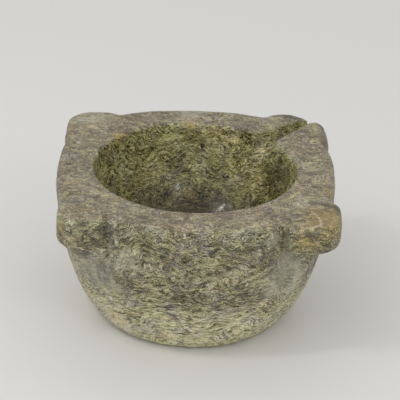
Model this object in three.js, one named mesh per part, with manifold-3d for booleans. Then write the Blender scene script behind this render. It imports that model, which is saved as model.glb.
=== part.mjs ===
// Stone mortar, carved from one square block: a round bowl, a square lug left at each corner of the block,
// and a pouring spout cut through one lug. It is a single piece of stone and has no moving parts.
// Millimetres. The origin is the centre of the foot, on the ground. +Z is up and the front faces -Y.
import * as THREE from "three";
import { mergeVertices } from "three/addons/utils/BufferGeometryUtils.js";
import Module from "manifold-3d";

// Driving dimensions
const HEIGHT = 146;
const BOWL_RADIUS = 94.5; // at the rim
const BOWL_DEPTH = 106;
const WALL_RADIUS = 129.5; // outside the rim, between the lugs
const WALL_ASIDE = 1; // the wall's centre, from the bowl's axis towards +X
const FOOT_RADIUS = 87;
const OUTER_EDGE = 6; // rounding of the outside edges
const INNER_EDGE = 3; // rounding of the rim's inside edge
const TURNS = 72; // segments round the body

// The body's outside, from the foot to the rim, is one cubic curve with these two control points. In plan
// it is round below SQUARE_FROM, and turns towards the block's square form from there up to the rim.
const BELLY_LOW = [120, 29];
const BELLY_HIGH = [WALL_RADIUS, 98];
const SQUARE_FROM = 60;
// Exponents of the superellipse at the rim, towards X and towards Y. An exponent of 2 gives a circle.
const SQUARENESS = [2.8, 2.35];

// Lugs: what is left of the block's corners. Each has two upright faces, parallel to Y and to X, that meet
// at a rounded corner. face is how far they stand from the bowl's axis. notch is where the lug stops along
// each of them, measured the same way: its x on the face that is parallel to X, and its y on the other.
// flank is the rounding in plan at each notch, and corner is the rounding at the corner. Where there is a
// cut, it is how much of the corner is taken off along each face. flank and cut are in the order of notch.
const LUGS = [
  { side: [-1, -1], face: [123, 118], notch: [74, 74], flank: [14, 14], corner: 24, height: 34 },
  { side: [1, -1], face: [133, 118], notch: [78, 58], flank: [14, 14], corner: 26, height: 30 },
  {
    side: [1, 1], face: [128.5, 129], notch: [61, 58], flank: [25, 11], cut: [25, 18], corner: 15, height: 32,
  },
  { side: [-1, 1], face: [127, 119.5], notch: [73, 50], flank: [14, 14], corner: 26, height: 32 },
];

// Scoops: the hollow worked into the body under each lug, an upright round flute with a coved top.
const SCOOP_REACH = 165; // centre, from the bowl's axis
const SCOOP_RADIUS = 45;
const SCOOP_COVE = 12;

// Spout: a U-shaped channel through the back right lug, wide at the bowl and narrow at the outside.
const SPOUT_DEPTH = 17;
const SPOUT_START = 70; // from the bowl's axis
const SPOUT_END = 175;
const SPOUT_ASIDE = 1.5; // its centre line, from the diagonal towards +Y
const SPOUT_WIDTH_START = 31;
const SPOUT_WIDTH_END = 2;

const wasm = await Module();
wasm.setup();

// A closed three.js geometry as a manifold-3d solid.
function solid(geometry) {
  const bare = geometry.clone().deleteAttribute("normal").deleteAttribute("uv");
  const merged = mergeVertices(bare, 1e-4);
  return new wasm.Manifold(
    new wasm.Mesh({
      numProp: 3,
      vertProperties: merged.attributes.position.array,
      triVerts: new Uint32Array(merged.index.array),
    }),
  );
}

// A manifold-3d solid as a three.js geometry.
function geometryOf(solidBody) {
  const mesh = solidBody.getMesh();
  const geometry = new THREE.BufferGeometry();
  geometry.setAttribute("position", new THREE.BufferAttribute(mesh.vertProperties, mesh.numProp));
  geometry.setIndex(new THREE.BufferAttribute(mesh.triVerts, 1));
  geometry.computeVertexNormals();
  return geometry;
}

// How far out the body's wall stands at one bearing, against its distance straight ahead, when fully square.
function squareReach(bearing) {
  const exponent = THREE.MathUtils.lerp(SQUARENESS[1], SQUARENESS[0], Math.cos(bearing) ** 2);
  const sum = Math.abs(Math.cos(bearing)) ** exponent + Math.abs(Math.sin(bearing)) ** exponent;
  return sum ** (-1 / exponent);
}

// The body, solid: turned about the bowl's axis, then drawn out towards the block's corners.
function body() {
  const rimTop = HEIGHT - OUTER_EDGE;
  const belly = new THREE.CubicBezierCurve(
    new THREE.Vector2(FOOT_RADIUS, 0),
    new THREE.Vector2(...BELLY_LOW),
    new THREE.Vector2(...BELLY_HIGH),
    new THREE.Vector2(WALL_RADIUS, rimTop),
  ).getSpacedPoints(14);
  const edge = new THREE.Path()
    .absarc(WALL_RADIUS - OUTER_EDGE, rimTop, OUTER_EDGE, 0, Math.PI / 2)
    .getPoints(3);
  const profile = [new THREE.Vector2(0, 0), ...belly, ...edge.slice(1), new THREE.Vector2(0, HEIGHT)];
  const turned = new THREE.LatheGeometry(profile, TURNS).rotateX(Math.PI / 2);
  const position = turned.attributes.position;
  for (let i = 0; i < position.count; i++) {
    const x = position.getX(i);
    const y = position.getY(i);
    const share = THREE.MathUtils.smoothstep(position.getZ(i), SQUARE_FROM, HEIGHT);
    const reach = THREE.MathUtils.lerp(1, squareReach(Math.atan2(y, x)), share);
    position.setXY(i, x * reach + WALL_ASIDE * share, y * reach);
  }
  return solid(turned);
}

// The bowl, as the solid that is cut away: half an ellipsoid that flares at the rim.
function bowl() {
  const hollow = new THREE.Path()
    .absellipse(0, HEIGHT - INNER_EDGE, BOWL_RADIUS, BOWL_DEPTH - INNER_EDGE, -Math.PI / 2, 0)
    .getPoints(12);
  const lip = new THREE.Path()
    .absarc(BOWL_RADIUS + INNER_EDGE, HEIGHT - INNER_EDGE, INNER_EDGE, Math.PI, Math.PI / 2, true)
    .getPoints(2);
  const above = HEIGHT + OUTER_EDGE;
  const profile = [
    new THREE.Vector2(0, HEIGHT - BOWL_DEPTH),
    ...hollow.slice(1),
    ...lip.slice(1),
    new THREE.Vector2(BOWL_RADIUS + INNER_EDGE, above),
    new THREE.Vector2(0, above),
  ];
  return solid(new THREE.LatheGeometry(profile, TURNS).rotateX(Math.PI / 2));
}

// One lug, as a block with rounded edges that reaches in under the rim.
function lug({ side, face, notch, flank, corner, cut, height }) {
  const outline = new THREE.Path()
    .moveTo(notch[0], notch[1])
    .lineTo(face[0] - flank[1], notch[1])
    .absarc(face[0] - flank[1], notch[1] + flank[1], flank[1], -Math.PI / 2, 0);
  if (cut) {
    const turn = Math.atan2(cut[0], cut[1]);
    outline
      .absarc(face[0] - corner, face[1] - corner - cut[1], corner, 0, turn)
      .absarc(face[0] - corner - cut[0], face[1] - corner, corner, turn, Math.PI / 2);
  } else {
    outline.absarc(face[0] - corner, face[1] - corner, corner, 0, Math.PI / 2);
  }
  outline.absarc(notch[0] + flank[0], face[1] - flank[0], flank[0], Math.PI / 2, Math.PI);
  const corners = outline.getPoints(4);
  const shape = new THREE.Shape(corners.map(({ x, y }) => new THREE.Vector2(x * side[0], y * side[1])));
  const block = new THREE.ExtrudeGeometry(shape, {
    depth: height - 2 * OUTER_EDGE,
    bevelThickness: OUTER_EDGE,
    bevelSize: OUTER_EDGE,
    bevelOffset: -OUTER_EDGE,
    bevelSegments: 3,
  });
  return solid(block.translate(0, 0, HEIGHT - height + OUTER_EDGE));
}

// The hollow under one lug, as the upright bar that is cut away. It ends level with the lug's underside.
function scoop({ side, face, height }) {
  const top = HEIGHT - height;
  const cove = new THREE.Path()
    .absarc(SCOOP_RADIUS - SCOOP_COVE, top - SCOOP_COVE, SCOOP_COVE, 0, Math.PI / 2)
    .getPoints(3);
  const foot = [new THREE.Vector2(0, 0), new THREE.Vector2(SCOOP_RADIUS, 0)];
  const profile = [...foot, ...cove, new THREE.Vector2(0, top)];
  const bar = new THREE.LatheGeometry(profile, 48).rotateX(Math.PI / 2);
  const bearing = Math.atan2(side[1] * face[1], side[0] * face[0]);
  bar.translate(SCOOP_REACH * Math.cos(bearing), SCOOP_REACH * Math.sin(bearing), 0);
  return solid(bar);
}

// The spout's channel, as the tapered bar that is cut away.
function spout() {
  const radius = SPOUT_WIDTH_START / 2;
  const section = new THREE.Shape()
    .moveTo(radius, OUTER_EDGE)
    .lineTo(-radius, OUTER_EDGE)
    .lineTo(-radius, radius - SPOUT_DEPTH)
    .absarc(0, radius - SPOUT_DEPTH, radius, Math.PI, 2 * Math.PI);
  const length = SPOUT_END - SPOUT_START;
  const bar = new THREE.ExtrudeGeometry(section, { depth: length, curveSegments: 12, bevelEnabled: false });
  const position = bar.attributes.position;
  for (let i = 0; i < position.count; i++) {
    const taper = THREE.MathUtils.lerp(1, SPOUT_WIDTH_END / SPOUT_WIDTH_START, position.getZ(i) / length);
    position.setX(i, position.getX(i) * taper);
  }
  // Laid down: the bar's length goes from +Z to +X, and its section's upright goes from +Y to +Z.
  bar.rotateZ(Math.PI / 2).rotateY(Math.PI / 2).translate(SPOUT_START, SPOUT_ASIDE, HEIGHT);
  return solid(bar.rotateZ(Math.PI / 4));
}

const stone = new THREE.MeshStandardMaterial({ color: 0x7e7a62, roughness: 0.55, metalness: 0 });
let carved = body();
for (const each of LUGS) carved = carved.add(lug(each));
for (const each of LUGS) carved = carved.subtract(scoop(each));
carved = carved.subtract(bowl()).subtract(spout());

const mortar = new THREE.Mesh(geometryOf(carved), stone);
mortar.name = "mortar";

const group = new THREE.Group();
group.add(mortar);
export default group;
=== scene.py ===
# Stone mortar with four lugs and a spout: the carved surface and the marble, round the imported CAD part.
# Everything is in metres, in the part's own frame. MM turns the sizes below, in millimetres, into metres.
import math

import bmesh
import bpy
import numpy as np
from mathutils import Matrix, Vector, noise
from mathutils.kdtree import KDTree


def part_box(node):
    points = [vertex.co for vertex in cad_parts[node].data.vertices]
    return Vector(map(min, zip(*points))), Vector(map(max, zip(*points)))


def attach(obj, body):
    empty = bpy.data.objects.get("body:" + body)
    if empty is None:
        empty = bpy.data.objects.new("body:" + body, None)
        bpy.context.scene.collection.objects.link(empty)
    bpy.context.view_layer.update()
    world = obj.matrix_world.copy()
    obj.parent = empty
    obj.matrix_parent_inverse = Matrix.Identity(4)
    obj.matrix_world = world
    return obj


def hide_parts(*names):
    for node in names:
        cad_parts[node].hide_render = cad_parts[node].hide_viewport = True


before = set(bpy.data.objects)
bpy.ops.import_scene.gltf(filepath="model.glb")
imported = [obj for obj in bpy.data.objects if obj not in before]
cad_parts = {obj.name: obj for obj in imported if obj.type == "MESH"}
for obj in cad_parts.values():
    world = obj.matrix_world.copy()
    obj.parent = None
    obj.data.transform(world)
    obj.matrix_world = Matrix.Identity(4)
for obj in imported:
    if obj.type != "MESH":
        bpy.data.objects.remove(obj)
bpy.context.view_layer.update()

MM = 0.001

# Sizes from the frame. WALL is the outside of the wall between the lugs, and BOWL is its inside at the rim.
LOW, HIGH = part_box("mortar")
RIM_Z = HIGH.z
RIM_WIDTH = 35 * MM
WALL = -LOW.y
BOWL = WALL - RIM_WIDTH

# Carving
GRAIN = 1.2 * MM  # size of the finished mesh's faces
SOFTEN = 3.7 * MM  # how far the worn edges are blurred
SOFTEN_LIP = 1.3 * MM  # the same, at the bowl's lip
SOFTEN_WORN = 5.5 * MM  # the same, where the lip is rubbed round
SOFTEN_SPOUT = 2.3 * MM  # the same, along the spout's edges
SOFTEN_CHEEK = 7 * MM  # the same, on the spout's lug, along its side towards +X
SOFTEN_HOLLOW = 3.2 * MM  # the same, along the sides of the hollows under the lugs
SAG = 12 * MM  # how far the front left lug's underside drops towards the front
CREASE_DEPTH = 2.8 * MM  # how deep the creases beside and under the front lugs are
WOBBLE = (0.9 * MM, 70 * MM)  # height and size of the slow wobble
RIPPLES = (0.35 * MM, 16 * MM)  # the same, of the tool's ripples
BUMPS = (0.16 * MM, 5 * MM)  # the same, of the fine grain
GROUND_SHARE = 0.5  # how much of the ripples and the grain is left where the bowl is ground

# Pits lie anywhere, and chips lie on worn edges. Radii are in millimetres, and depths are shares of a radius.
PITS = 420
PIT_RADII = (1.4, 3.2)
PIT_DEPTH = 0.22
CHIPS = 90
CHIP_RADII = (3, 7)
CHIP_DEPTH = 0.13
CHIP_WEAR = 0.9 * MM  # chips lie where wear has taken more than this
CHIP_CLEAR = 8 * MM  # and at least this far from the bowl's lip
FULL_WEAR = 1.2 * MM  # wear that counts as full in the masks
RANDOM_SEED = 20

# Where one thing changes over to another: where the change starts, and where it is complete
LIP_FADE = (4 * MM, 16 * MM)  # outwards from the bowl's lip
HOLLOW_SIDE = (48 * MM, 40 * MM)  # from the upright planes that run through the lugs
HOLLOW_TOP = (RIM_Z - 32 * MM, RIM_Z - 46 * MM)
HOLLOW_FOOT = (4 * MM, 20 * MM)
CHEEK_FADE = (36 * MM, 20 * MM)  # from the side of the lug that has the spout
SAG_START = (-2 * MM, 22 * MM)  # along the front left lug, from back to front
SAG_END = (54 * MM, 36 * MM)
SAG_LOW = (RIM_Z - 76 * MM, RIM_Z - 42 * MM)
SAG_HIGH = (RIM_Z, RIM_Z - 28 * MM)
SAG_INSIDE = (BOWL + 4 * MM, BOWL + 14 * MM)
HOLLOW_STAIN_SIDE = (36 * MM, 14 * MM)
HOLLOW_STAIN_FOOT = (45 * MM, 75 * MM)
HOLLOW_STAIN_TOP = (RIM_Z - 26 * MM, RIM_Z - 40 * MM)
TOP_LOW = (RIM_Z - 12 * MM, RIM_Z - 4 * MM)
TOP_TILT = (0.6, 0.95)  # upward part of the surface's direction
BELOW_BOWL = 30 * MM  # a height in the solid stone under the bowl

# The spout's channel runs outwards between +X and +Y, and narrows to a point.
SPOUT_HALF = 12 * MM  # half its width at the bowl
SPOUT_TIP = 178 * MM  # from the middle of the bowl to where its sides would meet
SPOUT_ASIDE = 1.5 * MM  # how far it lies towards +Y

# Lugs, by the side of X and of Y that they are on, and where along X and Y they start
FRONT_LEFT = (-1, -1)
FRONT_RIGHT = (1, -1)
BACK_LEFT = (-1, 1)
SPOUT_LUG = (1, 1)
LUG_FROM = 0.6 * WALL
LUG_LOW = 0.85 * RIM_Z  # a lug's outer faces are upright above this height


# ---------------------------------------------------------------- geometry

def smoothstep(low, high, value):
    t = np.clip((value - low) / (high - low), 0, 1)
    return t * t * (3 - 2 * t)


def remeshed_copy(source, name):
    """A new object with the source's shape, rebuilt from even faces of size GRAIN."""
    piece = bpy.data.objects.new(name, source.data.copy())
    bpy.context.scene.collection.objects.link(piece)
    welded = bmesh.new()
    welded.from_mesh(piece.data)
    bmesh.ops.remove_doubles(welded, verts=welded.verts, dist=0.001 * MM)
    welded.to_mesh(piece.data)
    welded.free()
    remesh = piece.modifiers.new("even", "REMESH")
    remesh.mode = "VOXEL"
    remesh.voxel_size = GRAIN
    bpy.context.view_layer.update()
    evaluated = piece.evaluated_get(bpy.context.evaluated_depsgraph_get())
    even = bpy.data.meshes.new_from_object(evaluated)
    piece.modifiers.clear()
    piece.data = even
    return piece


def points_of(mesh):
    flat = np.empty(len(mesh.vertices) * 3)
    mesh.vertices.foreach_get("co", flat)
    return flat.reshape(-1, 3)


def normals_of(mesh):
    flat = np.empty(len(mesh.vertices) * 3)
    mesh.vertex_normals.foreach_get("vector", flat)
    return flat.reshape(-1, 3)


def edges_of(mesh):
    flat = np.empty(len(mesh.edges) * 2, dtype=np.int64)
    mesh.edges.foreach_get("vertices", flat)
    return flat.reshape(-1, 2)


def set_points(mesh, points):
    mesh.vertices.foreach_set("co", points.ravel())
    mesh.update()


def blur(values, edges, distance):
    """Averages each point's values with its neighbours' over distance, which is one length for each point."""
    count = len(values)
    a, b = edges[:, 0], edges[:, 1]
    links = np.bincount(a, minlength=count) + np.bincount(b, minlength=count)
    step = 0.7
    # One pass spreads a value over about sqrt(step / 2) of a face.
    passes = (distance / GRAIN) ** 2 / (step / 2)
    values = values.copy()
    for i in range(int(np.ceil(passes.max()))):
        share = step * np.clip(passes - i, 0, 1)
        for axis in range(values.shape[1]):
            column = values[:, axis]
            total = np.bincount(a, column[b], count) + np.bincount(b, column[a], count)
            values[:, axis] = column + share * (total / links - column)
    return values


def diagonal(points):
    """How far each point is from the nearest of the two upright planes that run through the lugs."""
    return np.abs(np.abs(points[:, 0]) - np.abs(points[:, 1])) / math.sqrt(2)


def worn_lip(points):
    """1 where the bowl's lip is rubbed round, between +X and the spout, and 0 elsewhere."""
    azimuth = np.arctan2(points[:, 1], points[:, 0])
    spout = math.pi / 4 - math.asin(SPOUT_HALF / BOWL)
    return smoothstep(0, spout / 2, azimuth) * smoothstep(math.pi / 4, spout, azimuth)


def channel(points, margin):
    """1 in the spout's channel, and 0 from margin outside its edges."""
    along = (points[:, 0] + points[:, 1]) / math.sqrt(2)
    across = np.abs((points[:, 1] - points[:, 0]) / math.sqrt(2) - SPOUT_ASIDE)
    half = SPOUT_HALF * np.clip((SPOUT_TIP - along) / (SPOUT_TIP - BOWL), 0, 1)
    return smoothstep(half + margin, half + margin / 2, across) * (along > BOWL * 0.85)


def soften(points, edges):
    """Wears the edges: least at the bowl's lip, and more crisply along the hollows under the lugs."""
    radius = np.hypot(points[:, 0], points[:, 1])
    height = points[:, 2]
    lip = np.hypot(radius - BOWL, height - RIM_Z)
    crisp = SOFTEN_LIP + (SOFTEN_WORN - SOFTEN_LIP) * worn_lip(points)
    distance = crisp + (SOFTEN - crisp) * smoothstep(*LIP_FADE, lip)
    hollow = smoothstep(*HOLLOW_SIDE, diagonal(points)) * smoothstep(*HOLLOW_TOP, height)
    hollow *= (radius > BOWL * 0.75) * smoothstep(*HOLLOW_FOOT, height)
    distance = distance + (SOFTEN_HOLLOW - distance) * hollow * (lip > LIP_FADE[1])
    side = Places(points).lug(SPOUT_LUG, 1, 0)
    cheek = np.hypot(points[:, 0] - side[0], points[:, 1] - side[1])
    distance = np.maximum(distance, SOFTEN_CHEEK * smoothstep(*CHEEK_FADE, cheek))
    spout = channel(points, 8 * MM) * (height > RIM_Z - 24 * MM) * (radius > BOWL + 6 * MM)
    distance = distance + (SOFTEN_SPOUT - distance) * spout
    return blur(points, edges, distance)


def sag(points):
    """Drops the front left lug's underside towards its front end, where the carver left it lower."""
    along = (points[:, 0] - points[:, 1]) / math.sqrt(2)
    height = points[:, 2]
    share = smoothstep(*SAG_START, along) * smoothstep(*SAG_END, along)
    share *= smoothstep(*SAG_LOW, height) * smoothstep(*SAG_HIGH, height)
    share *= smoothstep(*SAG_INSIDE, np.hypot(points[:, 0], points[:, 1]))
    points = points.copy()
    points[:, 2] -= SAG * share * ((points[:, 0] < 0) & (points[:, 1] < 0))
    return points


def lumps(points, size, shift):
    """Smooth noise from -1 to 1 with lumps about size across; a different shift gives a different pattern."""
    offset = Vector((shift, 2 * shift, -shift))
    return np.array([noise.noise(Vector(p) + offset) for p in points / size])


def roughen(points):
    """Height of the hand-worked surface above the smooth one: a slow wobble, tool ripples and fine grain."""
    radius = np.hypot(points[:, 0], points[:, 1])
    inside = (radius < BOWL + 2 * MM) & (points[:, 2] > BELOW_BOWL)
    wobble = WOBBLE[0] * lumps(points, WOBBLE[1], shift=3.1)
    ripples = RIPPLES[0] * lumps(points, RIPPLES[1], shift=7.7)
    bumps = BUMPS[0] * lumps(points, BUMPS[1], shift=11.3)
    return wobble + (ripples + bumps) * np.where(inside, GROUND_SHARE, 1)


def dents(points, tree, centres, radii, depths):
    """Depth of round dents, and how much each point lies in one."""
    depth = np.zeros(len(points))
    share = np.zeros(len(points))
    for centre, radius, deep in zip(centres, radii, depths):
        for _, index, gap in tree.find_range(points[centre], radius):
            dip = (1 - (gap / radius) ** 2) ** 2
            depth[index] = max(depth[index], deep * dip)
            share[index] = max(share[index], dip)
    return depth, share


def tree_of(points):
    tree = KDTree(len(points))
    for i, point in enumerate(points):
        tree.insert(point, i)
    tree.balance()
    return tree


def carve():
    """The mortar as one dense, worn, hand-worked surface, with its wear and its pits kept as masks."""
    piece = remeshed_copy(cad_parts["mortar"], "mortar_stone")
    mesh = piece.data
    edges = edges_of(mesh)
    sharp = sag(points_of(mesh))
    points = soften(sharp, edges)
    set_points(mesh, points)
    normals = normals_of(mesh)
    filled = ((points - sharp) * normals).sum(axis=1)

    chance = np.random.default_rng(RANDOM_SEED)
    tree = tree_of(points)
    centres = chance.integers(0, len(points), PITS)
    radii = chance.uniform(*PIT_RADII, PITS) * MM
    pit_depth, pit_share = dents(points, tree, centres, radii, radii * PIT_DEPTH)
    # Chips follow the edges that wear has rounded most.
    lip = np.hypot(np.hypot(points[:, 0], points[:, 1]) - BOWL, points[:, 2] - RIM_Z)
    edge_points = np.nonzero((filled < -CHIP_WEAR) & (lip > CHIP_CLEAR))[0]
    centres = chance.choice(edge_points, CHIPS)
    radii = chance.uniform(*CHIP_RADII, CHIPS) * MM
    chip_depth, _ = dents(points, tree, centres, radii, radii * CHIP_DEPTH)
    creased = CREASE_DEPTH * streaks(points, creases(Places(points)))

    height = roughen(points) - pit_depth - chip_depth - creased
    height *= smoothstep(0, 4 * MM, points[:, 2]) * (0.35 + 0.65 * smoothstep(0, 6 * MM, lip))
    points = points + normals * height[:, None]
    points[:, 2] = np.clip(points[:, 2], LOW.z, RIM_Z)
    set_points(mesh, points)
    for face in mesh.polygons:
        face.use_smooth = True
    add_mask(mesh, "edge", -filled / FULL_WEAR)
    add_mask(mesh, "crease", filled / FULL_WEAR)
    add_mask(mesh, "pit", pit_share)
    return piece


def add_mask(mesh, name, values):
    """Stores one value a point on the mesh, for the material to read."""
    layer = mesh.attributes.new(name, "FLOAT", "POINT")
    layer.data.foreach_set("value", np.clip(values, 0, 1).astype(np.float32))


class Places:
    """Places on the mortar, measured on its own surface. Bearings are in degrees: 0 is +X, -90 the front."""

    def __init__(self, points):
        self.points = points

    def lug(self, side, along_x, along_y, down=0.0):
        """On a lug, from 0 where it starts to 1 at its outer face; down is a share of the whole height."""
        plan = self.points[:, :2] * side
        corner = (plan > LUG_FROM).all(axis=1) & (self.points[:, 2] > LUG_LOW)
        face = plan[corner].max(axis=0)
        x, y = (LUG_FROM + np.array((along_x, along_y)) * (face - LUG_FROM)) * side
        return np.array((x, y, RIM_Z * (1 - down)))

    def rim(self, bearing, across):
        """On the rim's top, from 0 at the bowl to 1 at the outside."""
        turn = math.radians(bearing)
        radius = BOWL + across * (WALL - BOWL)
        return np.array((radius * math.cos(turn), radius * math.sin(turn), RIM_Z))

    def seen_along(self, bearing, height):
        """The surface's points at one bearing and one share of the height, and how far out each is."""
        turn = math.radians(bearing)
        out = self.points[:, 0] * math.cos(turn) + self.points[:, 1] * math.sin(turn)
        aside = self.points[:, 1] * math.cos(turn) - self.points[:, 0] * math.sin(turn)
        above = self.points[:, 2] - height * RIM_Z
        near = (np.abs(aside) < 2 * GRAIN) & (np.abs(above) < 2 * GRAIN) & (out > 0)
        return self.points[near], out[near]

    def wall(self, bearing, height):
        """On the outside."""
        found, out = self.seen_along(bearing, height)
        return found[out.argmax()]

    def bowl(self, bearing, height):
        """On the inside."""
        found, out = self.seen_along(bearing, height)
        return found[out.argmin()]


def path(stops, reach, strength):
    """Streaks from each stop to the next."""
    return [(start, end, reach, strength) for start, end in zip(stops, stops[1:])]


def creases(at):
    """Creases: down beside the front left lug's hollow, and under the front right lug."""
    beside = [at.wall(-120, 0.8), at.wall(-125, 0.6), at.wall(-130, 0.45)]
    under = [at.lug(FRONT_RIGHT, along_x, 1, 0.2) for along_x in (0.1, 0.4, 0.8)]
    return path(beside, 7, 0.5) + path(under, 4, 0.6)


def shades(at):
    """Painted shade: in the creases, under the front left lug and behind the front right one; and dark marks
    at three pits.
    """
    under = [
        at.lug(FRONT_LEFT, 0.8, 1, 0.2),
        at.lug(FRONT_LEFT, 0.4, 1, 0.25),
        at.lug(FRONT_LEFT, 0, 0.8, 0.25),
    ]
    behind = [at.lug(FRONT_RIGHT, 0.5, -0.25), at.lug(FRONT_RIGHT, 1, 0)]
    pit_left = [at.lug(FRONT_LEFT, 0.5, 1, 0.03), at.lug(FRONT_LEFT, 0.4, 1, 0.03)]
    pit_right = [at.lug(FRONT_RIGHT, 0.4, 1, 0.05), at.lug(FRONT_RIGHT, 0.6, 1, 0.05)]
    pit_rim = [at.rim(-5, 0.2), at.rim(-5, 0.5)]
    shade_and_pit_marks = path(under, 7, 0.6) + path(behind, 6, 0.8) + path(pit_left, 5, 1.0)
    return creases(at) + shade_and_pit_marks + path(pit_right, 5, 0.8) + path(pit_rim, 3, 1.0)


def veins_and_highlight(at):
    """Pale veins: a hook on the front right lug and three on the rim; and a painted highlight, a pale streak
    in the bowl beside the spout.
    """
    outer = [(0.5, 0.2, 0), (0.6, 0.5, 0), (0.65, 0.8, 0), (0.4, 1, 0.02)]
    hook = [at.lug(FRONT_RIGHT, *place) for place in outer]
    inner = [hook[0], at.lug(FRONT_RIGHT, 0.4, 0.7)]
    rim = path([at.rim(10, 0.2), at.rim(0, 0.2)], 2.2, 0.6)
    rim += path([at.rim(-110, 1), at.rim(-100, 1)], 2.2, 1.0)
    rim += path([at.rim(-70, 1), at.rim(-60, 1)], 2.5, 0.8)
    # A painted highlight in the bowl beside the spout.
    spout = path([at.bowl(40, 0.9), at.bowl(35, 0.85)], 5, 0.5)
    return path(hook, 3, 0.6) + path(inner, 3, 0.5) + rim + spout


def ochre(at):
    """Ochre stains: place, reach in millimetres, and strength."""
    return [
        (at.lug(FRONT_RIGHT, 0.75, 0.5), 34, 1.0),
        (at.lug(FRONT_RIGHT, 0.4, 1, 0.1), 20, 0.75),
        (at.lug(FRONT_LEFT, 1, 0.75, 0.1), 14, 1.0),
        (at.lug(FRONT_LEFT, 0.5, 0.5), 14, 0.5),
        (at.lug(BACK_LEFT, 1, 0, 0.05), 20, 0.5),
        (at.rim(140, 0), 15, 0.8),
        (at.rim(95, 0), 13, 0.6),
        (at.rim(-20, 1), 14, 0.45),
        (at.bowl(95, 0.55), 9, 0.8),
    ]


def dark(at):
    """Darker places, in the same form: darker stone and stains, with painted shade on the spout lug's side
    towards +X.
    """
    # On the spout lug's side towards +X: darker stone, and painted shade on the side away from the light.
    side = [(at.lug(SPOUT_LUG, 1, along_y, 0.03), 17, 1.0) for along_y in (-0.3, 0, 0.4)]
    return side + [
        (at.lug(SPOUT_LUG, 0.3, 0.8), 30, 0.5),
        (at.lug(SPOUT_LUG, 0.6, 0), 26, 0.4),
        (at.lug(FRONT_LEFT, 0.4, 1, 0.15), 30, 0.55),
        (at.lug(FRONT_LEFT, 0, 1, 0.1), 11, 0.9),
        (at.lug(FRONT_RIGHT, 0, 1, 0.15), 18, 0.8),
        (at.lug(FRONT_RIGHT, 0.75, 1, 0.15), 22, 0.5),
        (at.lug(FRONT_RIGHT, 1, 0), 11, 1.0),
        (at.bowl(25, 0.8), 34, 1.0),
    ]


def pale(at):
    """Pale patches, in the same form; the broad one on the back rim's top is painted light."""
    return [
        (at.wall(-60, 0.9), 12, 1.0),
        (at.wall(-65, 0.8), 8, 0.8),
        (at.wall(-50, 0.45), 15, 0.5),
        (at.wall(-115, 0.7), 28, 0.6),
        (at.rim(-105, 1), 10, 0.6),
        (at.lug(BACK_LEFT, 0.5, 0.5), 34, 0.6),
        # Painted light: the back rim's top drawn as more brightly lit.
        (at.rim(90, 0.6), 45, 0.5),
    ]


def spots(points, places):
    """1 at the middle of each place, down to 0 at its reach in millimetres."""
    share = np.zeros(len(points))
    for centre, reach, strength in places:
        gap = np.linalg.norm(points - centre, axis=1)
        share = np.maximum(share, strength * np.clip(1 - gap / (reach * MM), 0, 1))
    return share


def streaks(points, lines):
    """1 along the middle of each line, down to 0 at its reach in millimetres."""
    share = np.zeros(len(points))
    for start, end, reach, strength in lines:
        along = (points - start) @ (end - start) / ((end - start) @ (end - start))
        nearest = start + np.clip(along, 0, 1)[:, None] * (end - start)
        gap = np.linalg.norm(points - nearest, axis=1)
        share = np.maximum(share, strength * np.clip(1 - gap / (reach * MM), 0, 1))
    return share


def mark_regions(mesh):
    """Marks the parts of the surface that are ground, worn, hollowed or stained, and where light and shade
    are painted.
    """
    points = points_of(mesh)
    normals = normals_of(mesh)
    radius = np.hypot(points[:, 0], points[:, 1])
    height = points[:, 2]
    worn = worn_lip(points)
    # The ground surface starts just below the rim, and lower where the lip is worn.
    inside = smoothstep(RIM_Z - (0.5 + 0.5 * worn) * MM, RIM_Z - (2.2 + 4.5 * worn) * MM, height)
    near_bowl = np.hypot(radius, height - RIM_Z) < BOWL + 12 * MM
    inside *= (radius < BOWL + 6 * MM) * (height > BELOW_BOWL) * near_bowl
    poured = channel(points, 9 * MM) * smoothstep(RIM_Z - 0.4 * MM, RIM_Z - 2.4 * MM, height)
    inside = np.maximum(inside, 0.75 * poured * (height > RIM_Z - 22 * MM))
    add_mask(mesh, "bowl", inside)
    flat = smoothstep(*TOP_TILT, normals[:, 2]) * smoothstep(*TOP_LOW, height)
    add_mask(mesh, "top", flat * (1 - inside))
    under = smoothstep(*HOLLOW_STAIN_SIDE, diagonal(points)) * smoothstep(*HOLLOW_STAIN_FOOT, height)
    under *= smoothstep(*HOLLOW_STAIN_TOP, height) * (radius > BOWL * 0.8)
    add_mask(mesh, "hollow", under * (1 - inside))
    at = Places(points)
    add_mask(mesh, "ochre", spots(points, ochre(at)))
    add_mask(mesh, "dark", spots(points, dark(at)))
    add_mask(mesh, "pale", spots(points, pale(at)))
    add_mask(mesh, "shade", streaks(points, shades(at)))
    add_mask(mesh, "vein", streaks(points, veins_and_highlight(at)))


mortar = carve()
mark_regions(mortar.data)
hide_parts("mortar")
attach(mortar, "root")


# ---------------------------------------------------------------- material

def tone(red, green, blue):
    """A linear colour from the eight-bit one that a screen shows."""
    def linear(value):
        value = value / 255
        return value / 12.92 if value <= 0.04045 else ((value + 0.055) / 1.055) ** 2.4
    return (linear(red), linear(green), linear(blue), 1)


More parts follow.
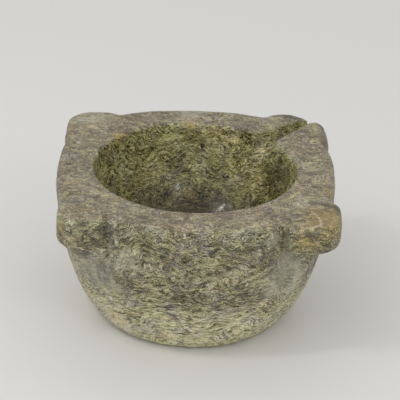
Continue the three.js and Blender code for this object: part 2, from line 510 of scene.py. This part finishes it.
class Graph:
    """A short way to write a material's nodes. Every method returns an output socket."""

    def __init__(self, name):
        self.material = bpy.data.materials.new(name)
        self.material.use_nodes = True
        self.tree = self.material.node_tree
        self.shader = self.tree.nodes["Principled BSDF"]

    def node(self, kind, values, output=0, **settings):
        made = self.tree.nodes.new(kind)
        for key, value in settings.items():
            setattr(made, key, value)
        for key, value in values.items():
            self.feed(made.inputs[key], value)
        return made.outputs[output]

    def feed(self, socket, value):
        if isinstance(value, bpy.types.NodeSocket):
            self.tree.links.new(value, socket)
        else:
            socket.default_value = value

    def math(self, operation, a, b=0.0):
        return self.node("ShaderNodeMath", {0: a, 1: b}, operation=operation)

    def vector(self, operation, a, b):
        return self.node("ShaderNodeVectorMath", {0: a, 1: b}, operation=operation)

    def scaled(self, vector, factor):
        return self.node("ShaderNodeVectorMath", {0: vector, "Scale": factor}, operation="SCALE")

    def noise(self, place, size, detail=2.0, roughness=0.5, distortion=0.0, output="Fac"):
        """Noise whose blobs are about size across, in the units of place."""
        values = {"Vector": place, "Scale": 1 / size, "Detail": detail, "Roughness": roughness}
        values["Distortion"] = distortion
        return self.node("ShaderNodeTexNoise", values, output)

    def remap(self, value, low, high, low_out=0.0, high_out=1.0):
        values = {"Value": value, "From Min": low, "From Max": high, "To Min": low_out, "To Max": high_out}
        return self.node("ShaderNodeMapRange", values, interpolation_type="SMOOTHSTEP")

    def mix(self, share, a, b, blend="MIX"):
        values = {0: share, 6: a, 7: b}
        return self.node("ShaderNodeMix", values, 2, data_type="RGBA", blend_type=blend)

    def tinted(self, colour, tint):
        """A colour multiplied by a tint."""
        return self.mix(1.0, colour, tint, "MULTIPLY")

    def cover(self, colour, over, share, strength):
        """A colour, covered by another one where share is above 0."""
        return self.mix(self.math("MULTIPLY", share, strength), colour, over)

    def swing(self, value, strength):
        """How far a value is from 0.5, times strength."""
        return self.math("MULTIPLY", self.math("SUBTRACT", value, 0.5), strength)

    def ramp(self, value, stops):
        made = self.tree.nodes.new("ShaderNodeValToRGB")
        bar = made.color_ramp
        while len(bar.elements) < len(stops):
            bar.elements.new(0.5)
        for element, (place, colour) in zip(bar.elements, stops):
            element.position = place
            element.color = colour
        self.feed(made.inputs[0], value)
        return made.outputs[0]

    def attribute(self, name):
        return self.node("ShaderNodeAttribute", {}, "Fac", attribute_name=name)


# The marble's sizes are in millimetres. A squash flattens a pattern: it scales X, Y and Z before the noise.
BED_DIP = math.radians(28)  # towards the back
FOLD_SIZE = 42
CURL_SIZE = 9
FOLD_PUSH = (20, 32)  # in plain stone, and in curly stone
CURL_PUSH = (4, 12)
CURLY_HEIGHTS = (60, 105)  # the outside is plain below, and curly above
PATCH_SIZE = 4.6
PATCH_SQUASH = (0.5, 0.5, 1.5)
PATCH_RINGS = 11
STREAK_SIZE = 1.7
STREAK_SQUASH = (0.26, 0.26, 2.5)
VEIN_SIZE = 3.6
VEIN_SQUASH = (0.3, 0.3, 1.0)
FOOT_HEIGHTS = (78, 12)  # the foot's paler stone, with painted light, begins, and is palest
BAND_HEIGHTS = (44, 70)  # the outside's darker stone begins, and is darkest
DEEP_HEIGHTS = (54, 115)  # the bowl is darkest, and is no longer darkened


def bedding(g, place, height, bowl):
    """Places in the stone's own bedding, which is folded and dips towards the back."""
    middle = (0.5, 0.5, 0.5)
    folds = g.vector("SUBTRACT", g.noise(place, FOLD_SIZE, 2, output="Color"), middle)
    curls = g.vector("SUBTRACT", g.noise(place, CURL_SIZE, 2, 0.6, output="Color"), middle)
    curly = g.math("MAXIMUM", g.remap(height, *CURLY_HEIGHTS), bowl)
    bent = g.vector("ADD", place, g.scaled(folds, g.remap(curly, 0, 1, *FOLD_PUSH)))
    bent = g.vector("ADD", bent, g.scaled(curls, g.remap(curly, 0, 1, *CURL_PUSH)))
    return g.node("ShaderNodeVectorRotate", {"Vector": bent, "Angle": BED_DIP}, rotation_type="X_AXIS")


def stone(g, place, bent, height, patches, streaks):
    """The plain marble: olive and grey, with broad zones, dark threads, pale hairs and fine veins."""
    speckle = g.noise(place, 1.3, 2, 0.5)
    value = g.math("ADD", g.math("MULTIPLY", patches, 0.6), g.math("MULTIPLY", streaks, 1.7))
    value = g.math("SUBTRACT", g.math("ADD", value, g.math("MULTIPLY", speckle, 0.6)), 0.965)
    value = g.math("ADD", value, g.swing(g.noise(place, 26, 2), 0.4))
    # Towards the foot the stone is paler, and its streaks are stronger; part of the paleness is painted light
    # on the downward-facing foot.
    paler = g.math("ADD", g.swing(streaks, 0.6), 0.2)
    value = g.math("ADD", value, g.math("MULTIPLY", g.remap(height, *FOOT_HEIGHTS), paler))

    olive = g.ramp(value, [
        (0.26, tone(50, 47, 31)),
        (0.38, tone(92, 88, 60)),
        (0.50, tone(142, 136, 100)),
        (0.62, tone(184, 179, 141)),
        (0.76, tone(230, 226, 192)),
    ])
    grey = g.ramp(value, [
        (0.26, tone(58, 56, 55)),
        (0.38, tone(100, 96, 94)),
        (0.50, tone(146, 141, 132)),
        (0.62, tone(180, 176, 164)),
        (0.76, tone(228, 225, 212)),
    ])
    clouds = g.remap(g.noise(bent, 15, 3, 0.6), 0.48, 0.62)
    colour = g.cover(olive, grey, clouds, 0.8)
    # Broad zones lean towards brown or towards green.
    zones = g.remap(g.noise(bent, 34, 2, 0.5), 0.4, 0.6)
    colour = g.tinted(colour, g.mix(zones, tone(252, 244, 236), tone(244, 246, 236)))

    # Dark threads follow the outlines of the patches, and pale hairs lie between them.
    rings = g.math("SINE", g.math("MULTIPLY", patches, 2 * math.pi * PATCH_RINGS))
    broken = g.remap(g.noise(bent, 7, 2), 0.42, 0.56)
    thread = g.math("MULTIPLY", g.remap(rings, 0.35, 0.95), broken)
    colour = g.cover(colour, tone(50, 48, 34), thread, 0.55)
    hair = g.math("MULTIPLY", g.remap(rings, -0.6, -0.98), g.remap(streaks, 0.45, 0.6))
    colour = g.cover(colour, tone(204, 200, 168), hair, 0.4)

    # Fine pale veins run along the bedding.
    flattened = g.noise(g.vector("MULTIPLY", bent, VEIN_SQUASH), VEIN_SIZE, 1)
    line = g.math("ABSOLUTE", g.math("SUBTRACT", flattened, 0.5))
    vein = g.math("MULTIPLY", g.remap(line, 0.045, 0.0), g.remap(g.noise(bent, 11, 2), 0.5, 0.62))
    return g.cover(colour, tone(214, 212, 190), vein, 0.45)


def used(g, colour, place, height, bowl):
    """The colour after use: the bowl ground and the top worn; also painted shade towards the bowl's bottom,
    and the hollows under the lugs paler.
    """
    # Outside, the stone is darker from half way up.
    band = g.math("MULTIPLY", g.remap(height, *BAND_HEIGHTS), g.math("SUBTRACT", 1.0, bowl))
    colour = g.mix(band, colour, g.tinted(colour, tone(229, 229, 226)))

    # The bowl is ground darker and more saturated, and painted shade makes it darkest at the bottom; the worn
    # top is greyer.
    ground = g.tinted(colour, tone(255, 255, 228))
    deep = g.mix(g.remap(height, *DEEP_HEIGHTS), tone(112, 97, 76), tone(255, 255, 255))
    colour = g.mix(bowl, colour, g.tinted(ground, deep))
    top = g.attribute("top")
    colour = g.cover(colour, tone(147, 136, 126), top, 0.22)
    colour = g.cover(colour, g.tinted(colour, tone(255, 248, 244)), top, 0.9)

    uneven = g.remap(g.noise(place, 14, 3, 0.6), 0.4, 0.6, 0.4, 1.0)
    hollow = g.math("MULTIPLY", g.attribute("hollow"), uneven)
    return g.cover(colour, tone(192, 190, 172), hollow, 0.5)


def stained(g, colour, place, bent):
    """The colour with its stains and painted shade, paler patches and a painted light, pale veins and a
    painted highlight, all with ragged edges.
    """
    ragged = g.swing(g.noise(bent, 6, 3, 0.65), 1.4)
    ochre_mask = g.attribute("ochre")
    plain = g.remap(ochre_mask, 0.45, 0.9, 0.15, 0.5)
    stain = g.tinted(g.mix(plain, colour, tone(172, 158, 130)), tone(252, 236, 188))
    colour = g.cover(colour, stain, g.remap(g.math("ADD", ochre_mask, ragged), 0.1, 0.6), 0.8)
    # Darker stone and stains, with painted shade on the spout lug's side towards +X.
    darker = g.remap(g.math("ADD", g.attribute("dark"), ragged), 0.2, 0.55)
    colour = g.cover(colour, g.tinted(colour, tone(162, 156, 148)), darker, 0.75)
    # Pale patches, one of them painted light on the back rim's top.
    paler = g.remap(g.math("ADD", g.attribute("pale"), ragged), 0.2, 0.6)
    colour = g.cover(colour, tone(200, 198, 182), paler, 0.25)

    finely_ragged = g.swing(g.noise(place, 3, 2, 0.6), 0.9)
    # Painted shade along the creases, under the front left lug and behind the front right one, and dark marks
    # at three pits.
    shade_and_pit_marks = g.remap(g.math("ADD", g.attribute("shade"), finely_ragged), 0.15, 0.7)
    colour = g.cover(colour, tone(64, 60, 46), shade_and_pit_marks, 0.7)
    # Pale veins, and a painted highlight in the bowl beside the spout.
    vein = g.remap(g.math("ADD", g.attribute("vein"), finely_ragged), 0.25, 0.75)
    return g.cover(colour, tone(212, 207, 182), vein, 0.6)


def edged(g, colour):
    """The colour with rubbed edges paler, and darker in creases and pits."""
    colour = g.cover(colour, tone(190, 184, 160), g.attribute("edge"), 0.12)
    in_creases = g.math("MULTIPLY", g.attribute("crease"), 0.6)
    in_pits = g.math("MULTIPLY", g.attribute("pit"), 0.75)
    return g.mix(g.math("MAXIMUM", in_creases, in_pits), colour, tone(58, 52, 42))


def marble():
    g = Graph("green_marble")
    place = g.scaled(g.node("ShaderNodeTexCoord", {}, "Object"), 1 / MM)  # millimetres from here on
    height = g.node("ShaderNodeSeparateXYZ", {"Vector": place}, "Z")
    bowl = g.attribute("bowl")
    bent = bedding(g, place, height, bowl)
    patches = g.noise(g.vector("MULTIPLY", bent, PATCH_SQUASH), PATCH_SIZE, 2, 0.5)
    streaks = g.noise(g.vector("MULTIPLY", bent, STREAK_SQUASH), STREAK_SIZE, 3, 0.65, 0.2)
    colour = stone(g, place, bent, height, patches, streaks)
    colour = used(g, colour, place, height, bowl)
    colour = edged(g, stained(g, colour, place, bent))

    relief = g.math("ADD", g.math("MULTIPLY", streaks, 0.7), g.noise(place, 1.1, 2, 0.6))
    bump = g.node("ShaderNodeBump", {"Strength": 0.5, "Distance": 0.25 * MM, "Height": relief})
    rough = g.math("ADD", g.remap(bowl, 0, 1, 0.46, 0.3), g.swing(streaks, 0.5))
    # Where pestles have polished the bowl, a thin clear gloss lies over the grain.
    gloss = g.math("MULTIPLY", bowl, g.remap(g.noise(place, 5, 3, 0.7), 0.42, 0.55))
    inputs = g.shader.inputs
    g.feed(inputs["Base Color"], colour)
    g.feed(inputs["Roughness"], rough)
    g.feed(inputs["Specular IOR Level"], g.remap(bowl, 0, 1, 0.5, 0.3))
    g.feed(inputs["Normal"], bump)
    g.feed(inputs["Coat Weight"], g.math("MULTIPLY", gloss, 0.45))
    g.feed(inputs["Coat Roughness"], 0.12)
    return g.material


mortar.data.materials.clear()
mortar.data.materials.append(marble())


# ---------------------------------------------------------------- stage

FLOOR_HALF = 4
FLOOR_COLOUR = (0.745, 0.74, 0.725, 1)
CAMERA_ELEVATION = math.radians(27.37)
CAMERA_ROLL = math.radians(1.96)
CAMERA_DISTANCE = 20 * BOWL
CAMERA_AIM = Vector((0, 0, RIM_Z - 0.6 * BOWL))
CAMERA_LENS = 180  # millimetres, as is the sensor's width
CAMERA_SENSOR = 36
CAMERA_SHIFT = (0.01625, 0.0485)  # shares of the sensor's width
CAMERA_REACH = 20
SKY_COLOUR = (1, 0.995, 0.985, 1)
SKY_STRENGTH = 0.62


def stage():
    mesh = bpy.data.meshes.new("floor")
    form = bmesh.new()
    bmesh.ops.create_grid(form, x_segments=1, y_segments=1, size=FLOOR_HALF)
    form.to_mesh(mesh)
    form.free()
    floor = bpy.data.objects.new("floor", mesh)
    bpy.context.scene.collection.objects.link(floor)
    material = bpy.data.materials.new("floor")
    material.use_nodes = True
    shader = material.node_tree.nodes["Principled BSDF"]
    shader.inputs["Base Color"].default_value = FLOOR_COLOUR
    shader.inputs["Roughness"].default_value = 0.9
    mesh.materials.append(material)


def camera():
    data = bpy.data.cameras.new("camera")
    data.lens = CAMERA_LENS
    data.sensor_width = CAMERA_SENSOR
    data.clip_end = CAMERA_REACH
    data.shift_x, data.shift_y = CAMERA_SHIFT
    view = bpy.data.objects.new("camera", data)
    away = Vector((0, -math.cos(CAMERA_ELEVATION), math.sin(CAMERA_ELEVATION)))
    view.matrix_world = (
        Matrix.Translation(CAMERA_AIM + away * CAMERA_DISTANCE)
        @ away.to_track_quat("Z", "Y").to_matrix().to_4x4()
        @ Matrix.Rotation(CAMERA_ROLL, 4, "Z")
    )
    bpy.context.scene.collection.objects.link(view)
    bpy.context.scene.camera = view


def lamp(name, azimuth, elevation, distance, size, power, shine=True, tall=None):
    """A soft lamp that looks at the bowl; azimuth 0 is the camera's side, and 90 is +X."""
    turn, tilt = math.radians(azimuth), math.radians(elevation)
    away = Vector((math.sin(turn) * math.cos(tilt), -math.cos(turn) * math.cos(tilt), math.sin(tilt)))
    data = bpy.data.lights.new(name, "AREA")
    data.shape = "RECTANGLE"
    data.size = size
    data.size_y = tall or size
    data.energy = power
    light = bpy.data.objects.new(name, data)
    light.location = away * distance + Vector((0, 0, RIM_Z / 2))
    light.rotation_euler = away.to_track_quat("Z", "Y").to_euler()
    light.visible_glossy = shine
    bpy.context.scene.collection.objects.link(light)


def lights():
    """Four large soft lamps without glints, and two narrow ones that glint in the ground bowl."""
    lamp("key", azimuth=-50, elevation=50, distance=2.4, size=1.6, power=8.5, shine=False)
    lamp("fill", azimuth=35, elevation=40, distance=2.4, size=1.6, power=2.5, shine=False)
    lamp("front", azimuth=0, elevation=25, distance=2.6, size=2.6, power=9, shine=False)
    lamp("back", azimuth=180, elevation=60, distance=2.6, size=2.4, power=7, shine=False)
    lamp("window_left", azimuth=-58, elevation=54, distance=2.0, size=0.14, power=4.0, tall=0.4)
    lamp("window_right", azimuth=27, elevation=38, distance=2.0, size=0.14, power=2.0, tall=0.4)
    world = bpy.data.worlds.new("studio")
    world.use_nodes = True
    background = world.node_tree.nodes["Background"]
    background.inputs["Color"].default_value = SKY_COLOUR
    background.inputs["Strength"].default_value = SKY_STRENGTH
    bpy.context.scene.world = world
    bpy.context.scene.view_settings.view_transform = "Standard"


stage()
camera()
lights()
